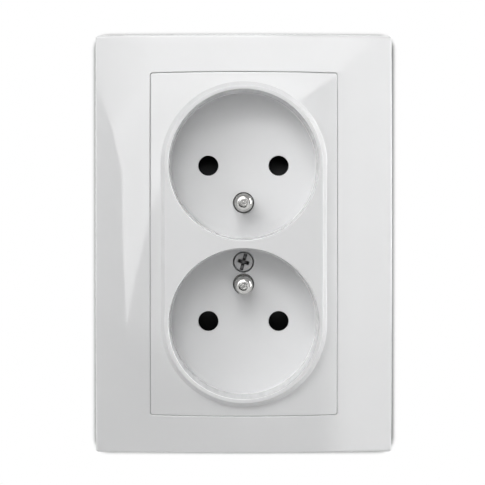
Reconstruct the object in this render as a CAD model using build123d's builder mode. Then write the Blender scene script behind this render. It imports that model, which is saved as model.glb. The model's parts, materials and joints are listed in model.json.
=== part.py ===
from build123d import *
from math import asin, cos, degrees, hypot, radians, sin, tan
import os

# A flush double socket outlet with earth pins: a crowned outer frame, a centre cover with two wells
# inside a raised oval rim, and behind them the shuttered contacts on a steel bracket with claws.
# The wall is the plane Y = 0, the front faces -Y and +Z is up. A height is measured from the wall
# towards the front, so the height h lies at Y = -h, and depths behind the wall are negative heights.
# All sizes are in millimetres, and angles in degrees.

# Plug face
pole_spacing = 19.0
earth_offset = 10.0
well_depth = 15.0
well_radius = 19.9
well_draft = 1.0
well_bridge = 2.2
plug_pin_length = 19.0
plug_pin_radius = 2.4
pole_hole_radius = 2.7
earth_pin_radius = 2.4
earth_pin_reach = 14.0
earth_hole_radius = 2.85

# Cover
rim_land = 1.0
rim_flank_angle = 22.0
rim_flank_depth = 3.6
rim_rise = 1.4
rim_edge_radius = 0.3
rim_foot_radius = 0.35
cover_side_margin = 2.35
cover_end_margin = 2.25
cover_bow = 0.35
cover_corner = 0.6
cover_edge_radius = 0.25
cover_wall = 1.5
cover_plate = 2.0
cover_floor = 1.5
floor_fillet = 0.6
hole_edge = 0.2

# Crowned front surface, an ellipse across and a large radius along the socket
crown_half_span = 60.0
crown_fall = 12.0
crown_length_radius = 600.0

# Outer frame
groove = 0.1
frame_end_band = 10.1
frame_wall = 1.8
frame_skin = 2.0
frame_bow = 0.2
frame_corner = 0.9
frame_edge_radius = 0.7
frame_draft = 0.8
collar_wall = 1.6
ledge_width = 1.5
ledge_thickness = 1.5
ledge_drop = 6.6
bracket_clearance = 2.3

# Clearances
part_gap = 0.3
slide_gap = 0.3
thread_gap = 0.1
hinge_gap = 0.05

# Bracket and box screws
bracket_thickness = 1.0
bracket_margin = 2.0
bracket_chamfer = 8.0
box_screw_pitch = 60.0
box_slot_length = 7.0
box_slot_radius = 1.8
rivet_radius = 1.5
rivet_head_radius = 2.6
rivet_head_gap = 0.1

# Shutters and their tray
tray_proud = 0.5
tray_web = 0.9
tray_centre_web = 2.2
tray_flange = 1.2
tray_rib = 0.8
pad_width = 6.0
pad_length = 6.0
pad_tip = 0.6
shutter_height = 6.2
bridge_height = 3.0
bridge_length = 3.0
spring_strip = 0.3
spring_height = 2.4
spring_legs = 6
spring_bend = 0.35
spring_seat_offset = 3.0

# Contacts
clip_strip = 0.6
clip_throat = 2.2
clip_mouth = 2.7
clip_reach = 3.4
clip_web = 3.5
clip_bend = 0.8
bus_strip = 0.8
bus_depth = 7.0
bus_overrun = 2.3
tab_half_width = 3.3
tab_reach = 3.5
contact_rivet_radius = 1.0
contact_rivet_head_radius = 1.6
contact_rivet_head = 0.5
earth_bar_half_width = 4.5
earth_bar_overrun = 3.5
bar_thickness = 1.0
bar_corner = 1.0

# Terminals
terminal_offset = 1.0
earth_terminal_to_pin = 6.5
terminal_head_radius = 2.3
terminal_head = 1.9
terminal_shank_radius = 1.4
terminal_shank = 5.0
clamp_half_width = 3.1
clamp_half_length = 2.8
clamp_thickness = 1.0
wire_hole_radius = 1.7
wire_offset = 7.4

# Cover screw
screw_to_pin = 6.0
screw_shank_radius = 1.65
screw_head_radius = 2.6
screw_head = 2.0
screw_sink = 0.4
screw_head_fillet = 0.3
tail_chamfer = 0.4
screw_length = 12.0
screw_recess_radius = 2.85
screw_boss_radius = 3.4
screw_boss_web = 1.0
drive_width = 0.8
drive_depth = 1.0
cross_length = 3.0
cover_screw_turn = 15.0

# Earth pin details
pin_collar_radius = 3.1
pin_neck_radius = 2.2
pin_shank_radius = 1.8
pin_tail = 0.8
pin_tail_radius = 2.5
pin_nub_radius = 0.95
pin_nub = 0.15

# Base
base_wall = 1.3
base_end_wall = 1.8
base_floor = 3.0
base_edge_radius = 1.0
tip_room = 1.0
tail_room = 1.0
lug_radius = 3.0
lug_gap = 0.4
lug_z = 13.0
lug_web = 2.8

# Claws
claw_screw_gap = 3.3
claw_screw_radius = 1.5
claw_screw_head_radius = 2.75
claw_screw_head = 2.0
claw_screw_travel = 2.1
claw_screw_point = 0.8
claw_lever = 4.6
claw_arm_overrun = 1.6
claw_pivot_depth = 3.5
claw_strip = 1.2
claw_length = 13.5
claw_hook = 1.6
claw_eye_wall = 0.9
claw_pin_radius = 1.0
claw_teeth = 3
tooth_depth = 1.4
ear_inner_z = 5.3
ear_thickness = 1.0
ear_radius = 2.2
ear_window = 4.9

# Heights from the wall
tray_front = bracket_thickness + tray_proud
rivet_head = tray_proud - rivet_head_gap
well_floor = tray_front + cover_floor
rim_height = well_floor + well_depth
crown_height = rim_height - rim_rise
rim_flank_foot = rim_height - rim_flank_depth
ledge_front = crown_height - ledge_drop
ledge_back = ledge_front - ledge_thickness
shutter_front = tray_front - slide_gap
shutter_back = shutter_front - shutter_height
tray_floor = shutter_back - slide_gap
tray_back = tray_floor - tray_web
base_front = tray_back
clamp_front = base_front - part_gap
bar_front = clamp_front - clamp_thickness
bar_back = bar_front - bar_thickness
clip_front = base_front - part_gap
bus_back = bar_front - bus_depth
contact_rivet_height = (clip_front + bus_back) / 2
clip_pocket_back = well_floor - plug_pin_length - tip_room
base_back = clip_pocket_back - base_floor
lug_back = base_front - lug_web
screw_head_front = well_floor - screw_sink
screw_seat = screw_head_front - screw_head
screw_tail = screw_seat - screw_length
screw_boss_back = screw_seat - screw_boss_web
pin_end = well_floor + earth_pin_reach
pin_neck_end = well_floor + part_gap
pin_shoulder = pin_end - (earth_pin_radius - pin_nub_radius)
rivet_pocket_back = contact_rivet_height - contact_rivet_head_radius - part_gap
claw_screw_seat = bracket_thickness + claw_screw_travel + part_gap
claw_screw_tip = part_gap + claw_strip / 2 - claw_pivot_depth
claw_end = claw_pivot_depth + claw_length
terminal_tail = clamp_front - terminal_shank

# Places across the socket
pole_x = pole_spacing / 2
well_pitch = 2 * well_radius + well_bridge
pole_z = well_pitch / 2
earth_z = pole_z - earth_offset
earth_terminal_z = earth_z - earth_terminal_to_pin
cover_screw_z = -(earth_z - screw_to_pin)
well_floor_radius = well_radius - well_depth * tan(radians(well_draft))
well_outer_radius = well_radius + cover_wall
rim_base_radius = well_radius + rim_land + rim_flank_depth * tan(radians(rim_flank_angle))
cover_half_width = rim_base_radius + cover_side_margin
cover_half_length = pole_z + rim_base_radius + cover_end_margin
window_half_width = cover_half_width + groove
window_half_length = cover_half_length + groove
bracket_half = box_screw_pitch / 2 + box_slot_length / 2 + bracket_margin
frame_half_width = bracket_half + bracket_clearance + frame_wall
frame_half_length = window_half_length + frame_end_band
shutter_travel = pad_length / 2 + plug_pin_radius + slide_gap
pad_outer_z = pole_z + pad_length / 2
pad_inner_z = pole_z - pad_length / 2
pocket_outer = pad_outer_z + slide_gap
pad_pocket_inner = pad_inner_z - shutter_travel - slide_gap
bridge_outer_z = pad_outer_z - part_gap
bridge_inner_z = bridge_outer_z - bridge_length
bridge_pocket_inner = bridge_inner_z - shutter_travel - slide_gap
tray_pin_hole = earth_pin_radius + slide_gap
spring_slot = pole_x - pad_width / 2 - tray_pin_hole - tray_rib
spring_x = tray_pin_hole + tray_rib + spring_slot / 2
spring_seat_z = earth_z - spring_seat_offset
spring_start = spring_seat_z + spring_strip
spring_leg = (bridge_inner_z - spring_strip - spring_start) / spring_legs
spring_fold = spring_slot / 2 - spring_strip - part_gap
bus_face = pole_x + clip_web + clip_strip
bus_outer = bus_face + bus_strip
bus_half_length = pole_z + bus_overrun
clip_pocket_half = clip_mouth + clip_strip + part_gap
clip_pocket_inner = pole_x - clip_reach - clip_strip - part_gap
rivet_start = bus_face - clip_strip - contact_rivet_head
rivet_pocket = contact_rivet_head + part_gap
terminal_x = pole_x + terminal_offset
tab_inner_x = terminal_x - tab_reach
tab_pocket_x = (tab_inner_x + bus_outer) / 2
tab_pocket_half_width = (bus_outer - tab_inner_x) / 2 + part_gap
wire_pocket_end = wire_offset + wire_hole_radius + part_gap
tab_pocket_z = (tab_half_width + part_gap - wire_pocket_end) / 2
tab_pocket_half_length = (tab_half_width + part_gap + wire_pocket_end) / 2
earth_bar_half_length = earth_z + earth_bar_overrun
earth_wire_x = earth_bar_half_width + part_gap + wire_hole_radius
earth_wire_z = tab_half_width + base_wall + wire_hole_radius + 2 * part_gap
base_half_width = bus_outer + contact_rivet_head + part_gap + base_wall
base_half_length = pole_z + clip_pocket_half + base_end_wall
base_radius = hypot(bus_face, pole_z + clip_pocket_half) + base_wall
lug_x = base_half_width + lug_gap + lug_radius
claw_screw_x = base_half_width + claw_screw_gap
claw_pivot_x = claw_screw_x + claw_lever
centre_half_width = base_half_width - tray_flange - base_wall
claw_eye_radius = claw_pin_radius + hinge_gap
claw_half_width = ear_inner_z - part_gap
ear_outer_z = ear_inner_z + ear_thickness
tooth_pitch = 2 * claw_half_width / claw_teeth

well_centres = [(0, pole_z), (0, -pole_z)]
pole_holes = [(x, z) for x in (-pole_x, pole_x) for z in (pole_z, -pole_z)]
earth_pins = [(0, earth_z), (0, -earth_z)]
terminals = {"line": (-terminal_x, 0), "neutral": (terminal_x, 0), "earth": (0, earth_terminal_z)}
lugs = [(lug_x, lug_z), (-lug_x, -lug_z)]
wire_holes = [(-terminal_x, -wire_offset), (terminal_x, -wire_offset), (-earth_wire_x, earth_wire_z)]
rows = {"upper": 1, "lower": -1}
sides = {"left": -1, "right": 1}
poles = {"line": -1, "neutral": 1}

os.makedirs("parts", exist_ok=True)


def at_height(height):
    """The plane parallel to the wall at this height, with X across and Z up in the sketch."""
    return Plane.XZ.offset(height)


def finish(builder, label):
    """Label a finished piece and write it."""
    builder.part.label = label
    export_step(builder.part, f"parts/{label}.step")


def crown(drop):
    """All that lies behind the crowned front surface, lowered by drop."""
    sweep = degrees(asin(2 * frame_half_length / crown_length_radius))
    depth = 2 * rim_height - base_back
    centre = crown_length_radius - drop - crown_fall
    start = Plane(
        origin=(0, crown_length_radius - crown_height, 0),
        x_dir=(1, 0, 0),
        z_dir=(0, -sin(radians(sweep)), -cos(radians(sweep))),
    )
    with BuildPart() as body:
        with BuildSketch(start):
            with BuildLine():
                EllipticalCenterArc((0, centre), crown_half_span, crown_fall, arc_size=180)
                Polyline(
                    (-crown_half_span, centre),
                    (-crown_half_span, centre - depth),
                    (crown_half_span, centre - depth),
                    (crown_half_span, centre),
                )
            make_face()
        revolve(axis=Axis(start.origin, (1, 0, 0)), revolution_arc=2 * sweep)
    return body.part


def bowed_outline(half_width, half_length, bow, corner):
    """A rectangle with straight sides and slightly bowed ends."""
    side = half_length - bow
    with BuildSketch() as outline:
        with BuildLine():
            Line((half_width, -side), (half_width, side))
            ThreePointArc((half_width, side), (0, half_length), (-half_width, side))
            Line((-half_width, side), (-half_width, -side))
            ThreePointArc((-half_width, -side), (0, -half_length), (half_width, -side))
        make_face()
        fillet(outline.vertices(), corner)
    return outline.sketch


def crowned_block(outline, foot, surface, draft=0.0):
    """The outline raised from the height foot up to a crowned surface."""
    with BuildPart() as block:
        with BuildSketch(at_height(foot)):
            add(outline)
        extrude(amount=rim_height - foot, taper=draft)
        add(surface, mode=Mode.INTERSECT)
    return block.part


def round_ended_plate(half_width, half_length, radius):
    """A rectangle that a circle trims at the corners, as the round wall box does."""
    with BuildSketch() as outline:
        Rectangle(2 * half_width, 2 * half_length)
        Circle(radius, mode=Mode.INTERSECT)
    return outline.sketch


front_surface = crown(0)
cover_underside = crown(cover_plate)
frame_underside = crown(frame_skin)
collar_top = crown(frame_skin / 2)

frame_outline = bowed_outline(frame_half_width, frame_half_length, frame_bow, frame_corner)
frame_inside = bowed_outline(
    frame_half_width - frame_wall, frame_half_length - frame_wall, frame_bow, frame_corner
)
collar_outline = bowed_outline(
    window_half_width + collar_wall, window_half_length + collar_wall, cover_bow, cover_corner + collar_wall
)
window_outline = bowed_outline(window_half_width, window_half_length, cover_bow, cover_corner + groove)
ledge_outline = bowed_outline(
    window_half_width - ledge_width, window_half_length - ledge_width, cover_bow, cover_corner
)
cover_outline = bowed_outline(cover_half_width, cover_half_length, cover_bow, cover_corner)
cover_inside = bowed_outline(
    cover_half_width - cover_wall, cover_half_length - cover_wall, cover_bow, cover_corner
)
base_outline = round_ended_plate(base_half_width, base_half_length, base_radius)
platform_outline = round_ended_plate(
    base_half_width - tray_flange, base_half_length - tray_flange, base_radius - tray_flange
)
bracket_window = round_ended_plate(
    base_half_width - tray_flange + part_gap,
    base_half_length - tray_flange + part_gap,
    base_radius - tray_flange + part_gap,
)

frame_block = crowned_block(frame_outline, 0, front_surface, frame_draft)
frame_hollow = crowned_block(frame_inside, 0, frame_underside)
window_collar = crowned_block(collar_outline, ledge_back, collar_top)
cover_block = crowned_block(cover_outline, ledge_front, front_surface)
cover_hollow = crowned_block(cover_inside, ledge_front, cover_underside)

# Outer frame: a crowned shell, with a collar and a ledge around the window that the cover stands on
with BuildPart() as outer_frame:
    add(frame_block)
    fillet(outer_frame.faces().sort_by(Axis.Y).first.edges(), frame_edge_radius)
    add(frame_hollow, mode=Mode.SUBTRACT)
    add(window_collar)
    with BuildSketch(at_height(ledge_front)):
        add(window_outline)
    extrude(amount=rim_height - ledge_front, mode=Mode.SUBTRACT)
    with BuildSketch(at_height(ledge_back)):
        add(ledge_outline)
    extrude(amount=ledge_thickness, mode=Mode.SUBTRACT)
    fillet(outer_frame.faces().sort_by(Axis.Y).first.inner_wires()[0].edges(), cover_edge_radius)
finish(outer_frame, "outer_frame")

# Socket cover: crowned plate and skirt, oval rim, two wells, pole and earth holes, screw boss
with BuildPart() as socket_cover:
    add(cover_block)
    fillet(socket_cover.faces().sort_by(Axis.Y).first.edges(), cover_edge_radius)
    with BuildSketch(at_height(rim_flank_foot)):
        SlotCenterToCenter(well_pitch, 2 * rim_base_radius, rotation=90)
    extrude(amount=rim_flank_depth, taper=rim_flank_angle)
    crowned_face = socket_cover.faces().filter_by(GeomType.REVOLUTION).first
    fillet(crowned_face.inner_wires()[0].edges(), rim_foot_radius)
    add(cover_hollow, mode=Mode.SUBTRACT)
    with BuildSketch(at_height(tray_front)):
        with Locations(*well_centres):
            Circle(well_outer_radius)
    extrude(amount=rim_flank_foot - tray_front)
    with BuildSketch(at_height(well_floor)):
        with Locations(*well_centres):
            Circle(well_floor_radius)
    extrude(amount=well_depth, taper=-well_draft, mode=Mode.SUBTRACT)
    fillet(socket_cover.faces().sort_by(Axis.Y).first.edges(), rim_edge_radius)
    well_floors = socket_cover.faces().filter_by_position(Axis.Y, -well_floor, -well_floor)
    fillet(well_floors.edges(), floor_fillet)
    with BuildSketch(at_height(screw_boss_back)):
        with Locations((0, cover_screw_z)):
            Circle(screw_boss_radius)
    extrude(amount=tray_front - screw_boss_back)
    with BuildSketch(at_height(well_floor)):
        with Locations(*earth_pins):
            Circle(earth_hole_radius)
        with Locations(*pole_holes):
            Circle(pole_hole_radius)
        with Locations((0, cover_screw_z)):
            Circle(screw_shank_radius + part_gap)
    extrude(amount=screw_boss_back - well_floor, mode=Mode.SUBTRACT)
    with BuildSketch(at_height(screw_seat)):
        with Locations((0, cover_screw_z)):
            Circle(screw_recess_radius)
    extrude(amount=well_floor - screw_seat, mode=Mode.SUBTRACT)
    floor_circles = socket_cover.edges().filter_by(GeomType.CIRCLE)
    floor_circles = floor_circles.filter_by_position(Axis.Y, -well_floor, -well_floor)
    chamfer(floor_circles.group_by(SortBy.RADIUS)[0], hole_edge)
finish(socket_cover, "socket_cover")

# Cover screw: cheese head with a slot and a cross, threaded into the earth bar
with BuildPart() as cover_screw:
    with BuildSketch(at_height(screw_seat)):
        with Locations((0, cover_screw_z)):
            Circle(screw_head_radius)
    extrude(amount=screw_head)
    fillet(cover_screw.faces().sort_by(Axis.Y).first.edges(), screw_head_fillet)
    with BuildSketch(at_height(screw_tail)):
        with Locations((0, cover_screw_z)):
            Circle(screw_shank_radius)
    extrude(amount=screw_length)
    chamfer(cover_screw.faces().sort_by(Axis.Y).last.edges(), tail_chamfer)
    with BuildSketch(at_height(screw_head_front)):
        with Locations((0, cover_screw_z)):
            Rectangle(drive_width, 2 * screw_head_radius, rotation=-cover_screw_turn)
            Rectangle(cross_length, drive_width, rotation=-cover_screw_turn)
    extrude(amount=-drive_depth, mode=Mode.SUBTRACT)
finish(cover_screw, "cover_screw")

# Mounting bracket: pressed plate with the window, box-screw slots and bent ears for the claw pins
with BuildPart() as mounting_bracket:
    with BuildSketch(at_height(0)) as plate:
        Rectangle(2 * bracket_half, 2 * bracket_half)
        chamfer(plate.vertices(), bracket_chamfer)
        add(bracket_window, mode=Mode.SUBTRACT)
        with GridLocations(box_screw_pitch, 0, 2, 1):
            SlotOverall(box_slot_length, 2 * box_slot_radius, mode=Mode.SUBTRACT)
        with Locations((claw_screw_x, 0), (-claw_screw_x, 0)):
            Circle(claw_screw_radius + thread_gap, mode=Mode.SUBTRACT)
        with Locations(*lugs):
            Circle(rivet_radius, mode=Mode.SUBTRACT)
        with GridLocations(2 * claw_pivot_x, 2 * ear_outer_z + ear_window, 2, 2):
            Rectangle(2 * ear_radius, ear_window, mode=Mode.SUBTRACT)
    extrude(amount=bracket_thickness)
    with BuildSketch(Plane.XY.offset(ear_inner_z)):
        with Locations((claw_pivot_x, (claw_pivot_depth - bracket_thickness) / 2)):
            Rectangle(2 * ear_radius, claw_pivot_depth + bracket_thickness)
        with Locations((claw_pivot_x, claw_pivot_depth)):
            Circle(ear_radius)
            Circle(claw_pin_radius, mode=Mode.SUBTRACT)
        mirror(about=Plane.YZ)
    ears = extrude(amount=ear_thickness)
    mirror(ears, about=Plane.XY)
finish(mounting_bracket, "mounting_bracket")

# Bracket rivets: headed at the front, spread behind the lugs of the base
with BuildPart() as bracket_rivets:
    with BuildSketch(at_height(lug_back)):
        with Locations(*lugs):
            Circle(rivet_radius)
    extrude(amount=bracket_thickness - lug_back)
    with BuildSketch(at_height(bracket_thickness)):
        with Locations(*lugs):
            Circle(rivet_head_radius)
    extrude(amount=rivet_head)
    with BuildSketch(at_height(lug_back - rivet_head)):
        with Locations(*lugs):
            Circle(rivet_head_radius)
    extrude(amount=rivet_head)
    fillet(bracket_rivets.faces().filter_by(Axis.Y).group_by(Axis.Y)[0].edges(), rivet_head / 2)
finish(bracket_rivets, "bracket_rivets")

# Mechanism base: insulating block with pockets for the contacts, wire entries and two rivet lugs
with BuildPart() as mechanism_base:
    with BuildSketch(at_height(base_back)):
        add(base_outline)
    extrude(amount=base_front - base_back)
    fillet(mechanism_base.faces().sort_by(Axis.Y).last.edges(), base_edge_radius)
    with BuildSketch(at_height(lug_back)):
        with Locations((lug_x - lug_radius, lug_z), (lug_radius - lug_x, -lug_z)):
            Rectangle(2 * lug_radius, 2 * lug_radius)
    extrude(amount=lug_web)
    with BuildSketch(at_height(lug_back)):
        with Locations(*lugs):
            Circle(lug_radius)
    extrude(amount=-lug_back)
    with BuildSketch(at_height(0)):
        with Locations(*lugs):
            Circle(rivet_radius)
    extrude(amount=lug_back, mode=Mode.SUBTRACT)
    with BuildSketch(at_height(base_front)):
        with GridLocations(clip_pocket_inner + bus_face, well_pitch, 2, 2):
            Rectangle(bus_face - clip_pocket_inner, 2 * clip_pocket_half)
    extrude(amount=clip_pocket_back - base_front, mode=Mode.SUBTRACT)
    with BuildSketch(at_height(base_front)):
        with GridLocations(bus_face + bus_outer, 0, 2, 1):
            Rectangle(bus_strip + 2 * part_gap, 2 * (bus_half_length + part_gap))
    extrude(amount=bus_back - base_front, mode=Mode.SUBTRACT)
    with BuildSketch(at_height(base_front)):
        with GridLocations(2 * bus_outer, well_pitch, 2, 2):
            Rectangle(2 * rivet_pocket, 2 * (contact_rivet_head_radius + part_gap))
    extrude(amount=rivet_pocket_back - base_front, mode=Mode.SUBTRACT)
    with BuildSketch(at_height(base_front)):
        with Locations((tab_pocket_x, tab_pocket_z), (-tab_pocket_x, tab_pocket_z)):
            Rectangle(2 * tab_pocket_half_width, 2 * tab_pocket_half_length)
        Rectangle(2 * (earth_bar_half_width + part_gap), 2 * (earth_bar_half_length + part_gap))
        with Locations((-earth_wire_x, earth_wire_z)):
            Rectangle(2 * (wire_hole_radius + part_gap), 2 * (wire_hole_radius + part_gap))
    extrude(amount=bar_back - base_front, mode=Mode.SUBTRACT)
    with BuildSketch(at_height(bar_back)):
        with Locations(*earth_pins):
            Circle(pin_tail_radius + part_gap)
    extrude(amount=-(pin_tail + tail_room), mode=Mode.SUBTRACT)
    with BuildSketch(at_height(bar_back)):
        with Locations(*terminals.values()):
            Circle(terminal_shank_radius + part_gap)
    extrude(amount=terminal_tail - tail_room - bar_back, mode=Mode.SUBTRACT)
    with BuildSketch(at_height(bar_back)):
        with Locations((0, cover_screw_z)):
            Circle(screw_shank_radius + part_gap)
    extrude(amount=screw_tail - tail_room - bar_back, mode=Mode.SUBTRACT)
    with BuildSketch(at_height(bar_back)):
        with Locations(*wire_holes):
            Circle(wire_hole_radius)
    extrude(amount=base_back - bar_back, mode=Mode.SUBTRACT)
finish(mechanism_base, "mechanism_base")

# Contact cover: tray over the contacts, with a pocket for each shutter and a recess for the terminals
with BuildPart() as contact_cover:
    with BuildSketch(at_height(tray_back)):
        add(base_outline)
    extrude(amount=-tray_back)
    with BuildSketch(at_height(0)):
        add(platform_outline)
    extrude(amount=tray_front)
    with BuildSketch(at_height(tray_front)):
        with GridLocations(pole_spacing, pad_pocket_inner + pocket_outer, 2, 2):
            Rectangle(pad_width + 2 * slide_gap, pocket_outer - pad_pocket_inner)
        with GridLocations(0, bridge_pocket_inner + pocket_outer, 1, 2):
            Rectangle(pole_spacing, pocket_outer - bridge_pocket_inner)
        with GridLocations(2 * spring_x, spring_seat_z + pole_z, 2, 2):
            Rectangle(spring_slot, pole_z - spring_seat_z)
    extrude(amount=tray_floor - tray_front, mode=Mode.SUBTRACT)
    with BuildSketch(at_height(tray_front)):
        Rectangle(2 * centre_half_width, 2 * (spring_seat_z - tray_rib))
    extrude(amount=tray_back + tray_centre_web - tray_front, mode=Mode.SUBTRACT)
    with BuildSketch(at_height(tray_front)):
        with Locations((0, cover_screw_z)):
            Circle(screw_boss_radius + part_gap)
    extrude(amount=screw_boss_back - part_gap - tray_front, mode=Mode.SUBTRACT)
    with BuildSketch(at_height(tray_front)):
        with Locations(*pole_holes):
            Circle(pole_hole_radius + part_gap)
        with Locations(*earth_pins):
            Circle(tray_pin_hole)
        with Locations(*terminals.values()):
            Circle(terminal_head_radius + part_gap)
        with Locations((0, cover_screw_z)):
            Circle(screw_shank_radius + part_gap)
    extrude(amount=tray_back - tray_front, mode=Mode.SUBTRACT)
finish(contact_cover, "contact_cover")

# Shutters: two ramped pads on a bridge, pushed towards the middle of the socket by the plug pins
for row, up in rows.items():
    with BuildPart() as shutter:
        with BuildSketch(Plane.YZ.offset(pole_x - pad_width / 2)):
            with BuildLine():
                Polyline(
                    (-shutter_back, up * pad_inner_z),
                    (-shutter_back, up * pad_outer_z),
                    (-shutter_back - pad_tip, up * pad_outer_z),
                    (-shutter_front, up * pad_inner_z),
                    close=True,
                )
            make_face()
        extrude(amount=pad_width)
        mirror(about=Plane.YZ)
        with BuildSketch(at_height(shutter_back)):
            with Locations((0, up * (bridge_inner_z + bridge_outer_z) / 2)):
                Rectangle(pole_spacing - pad_width, bridge_length)
        extrude(amount=bridge_height)
    finish(shutter, f"{row}_shutter")

# Shutter springs: folded strips between the tray and the bridge of each shutter
for row, up in rows.items():
    with BuildPart() as springs:
        for side in sides.values():
            folds = [
                (side * (spring_x + spring_fold * (-1) ** n), up * (spring_start + n * spring_leg))
                for n in range(spring_legs + 1)
            ]
            with BuildSketch(at_height(shutter_back)):
                with BuildLine():
                    FilletPolyline(*folds, radius=spring_bend)
                    offset(amount=spring_strip, side=Side.LEFT)
                make_face()
            extrude(amount=spring_height)
    finish(springs, f"{row}_shutter_springs")

# Contact clips: strips bent to two sprung jaws, open towards the middle, with the web on the bus bar
with BuildSketch() as clip_profile:
    with BuildLine():
        FilletPolyline(
            (-clip_reach, clip_mouth),
            (-clip_reach / 3, clip_throat),
            (clip_web, clip_mouth),
            (clip_web, -clip_mouth),
            (-clip_reach / 3, -clip_throat),
            (-clip_reach, -clip_mouth),
            radius=clip_bend,
        )
        offset(amount=clip_strip, side=Side.LEFT)
    make_face()

for row, up in rows.items():
    for pole, side in poles.items():
        with BuildPart() as clip:
            with BuildSketch(at_height(bus_back)):
                with Locations((side * pole_x, up * pole_z)):
                    add(clip_profile.sketch, rotation=90 - 90 * side)
            extrude(amount=clip_front - bus_back)
            with BuildSketch(Plane.YZ):
                with Locations((-contact_rivet_height, up * pole_z)):
                    Circle(contact_rivet_radius)
            extrude(amount=side * base_half_width, mode=Mode.SUBTRACT)
        finish(clip, f"{row}_{pole}_clip")

# Bus bars: standing strips that join the upper and lower clips, each with a bent terminal tab
for pole, side in poles.items():
    with BuildPart() as bus_bar:
        with BuildSketch(at_height(bus_back)):
            with Locations((side * (bus_face + bus_outer) / 2, 0)):
                Rectangle(bus_strip, 2 * bus_half_length)
        extrude(amount=bus_depth)
        with BuildSketch(at_height(bar_back)):
            with Locations((side * (tab_inner_x + bus_outer) / 2, 0)):
                Rectangle(bus_outer - tab_inner_x, 2 * tab_half_width)
            with Locations((side * terminal_x, 0)):
                Circle(terminal_shank_radius + thread_gap, mode=Mode.SUBTRACT)
        extrude(amount=bar_thickness)
        with BuildSketch(Plane.YZ):
            with GridLocations(0, well_pitch, 1, 2):
                with Locations((-contact_rivet_height, 0)):
                    Circle(contact_rivet_radius)
        extrude(amount=side * base_half_width, mode=Mode.SUBTRACT)
    finish(bus_bar, f"{pole}_bus_bar")

# Contact rivets: one through each clip's web and its bus bar
with BuildPart() as contact_rivets:
    with BuildSketch(Plane.YZ.offset(rivet_start)):
        with Locations((-contact_rivet_height, pole_z), (-contact_rivet_height, -pole_z)):
            Circle(contact_rivet_head_radius)
    extrude(amount=contact_rivet_head)
    with BuildSketch(Plane.YZ.offset(rivet_start)):
        with Locations((-contact_rivet_height, pole_z), (-contact_rivet_height, -pole_z)):
            Circle(contact_rivet_radius)
    extrude(amount=bus_outer + contact_rivet_head - rivet_start)
    with BuildSketch(Plane.YZ.offset(bus_outer)):
        with Locations((-contact_rivet_height, pole_z), (-contact_rivet_height, -pole_z)):
            Circle(contact_rivet_head_radius)
    extrude(amount=contact_rivet_head)
    mirror(about=Plane.YZ)
finish(contact_rivets, "contact_rivets")

# Earth bar: flat strip that carries both earth pins, the earth terminal and the cover screw
with BuildPart() as earth_bar:
    with BuildSketch(at_height(bar_back)):
        RectangleRounded(2 * earth_bar_half_width, 2 * earth_bar_half_length, bar_corner)
        with Locations(*earth_pins):
            Circle(pin_shank_radius, mode=Mode.SUBTRACT)
        with Locations(terminals["earth"]):
            Circle(terminal_shank_radius + thread_gap, mode=Mode.SUBTRACT)
        with Locations((0, cover_screw_z)):
            Circle(screw_shank_radius + thread_gap, mode=Mode.SUBTRACT)
    extrude(amount=bar_thickness)
finish(earth_bar, "earth_bar")

# Earth pins: turned, with a collar on the bar, a neck, a spread tail behind and a rounded, nibbed end
for row, up in rows.items():
    with BuildPart() as earth_pin:
        with BuildSketch(Plane.XY.offset(up * earth_z)):
            with BuildLine():
                Polyline(
                    (0, pin_tail - bar_back),
                    (pin_tail_radius, pin_tail - bar_back),
                    (pin_tail_radius, -bar_back),
                    (pin_shank_radius, -bar_back),
                    (pin_shank_radius, -bar_front),
                    (pin_collar_radius, -bar_front),
                    (pin_collar_radius, -clamp_front),
                    (pin_neck_radius, -clamp_front),
                    (pin_neck_radius, -pin_neck_end),
                    (earth_pin_radius, -pin_neck_end),
                    (earth_pin_radius, -pin_shoulder),
                )
                TangentArc(
                    (earth_pin_radius, -pin_shoulder), (pin_nub_radius, -pin_end), tangent=(0, -1)
                )
                Polyline(
                    (pin_nub_radius, -pin_end),
                    (pin_nub_radius, -pin_end - pin_nub),
                    (0, -pin_end - pin_nub),
                    (0, pin_tail - bar_back),
                )
            make_face()
        revolve(axis=Axis((0, 0, up * earth_z), (0, 1, 0)))
    finish(earth_pin, f"{row}_earth_pin")

# Terminals: a clamp plate under a slotted screw at each of the three conductors
for pole, place in terminals.items():
    with BuildPart() as clamp_plate:
        with BuildSketch(at_height(bar_front)):
            with Locations(place):
                Rectangle(2 * clamp_half_width, 2 * clamp_half_length)
                Circle(terminal_shank_radius + thread_gap, mode=Mode.SUBTRACT)
        extrude(amount=clamp_thickness)
    finish(clamp_plate, f"{pole}_clamp_plate")

    with BuildPart() as terminal_screw:
        with BuildSketch(at_height(terminal_tail)):
            with Locations(place):
                Circle(terminal_shank_radius)
        extrude(amount=terminal_shank)
        with BuildSketch(at_height(clamp_front)):
            with Locations(place):
                Circle(terminal_head_radius)
        extrude(amount=terminal_head)
        with BuildSketch(at_height(clamp_front + terminal_head)):
            with Locations(place):
                Rectangle(2 * terminal_head_radius, drive_width)
        extrude(amount=-drive_depth, mode=Mode.SUBTRACT)
    finish(terminal_screw, f"{pole}_terminal_screw")

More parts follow.
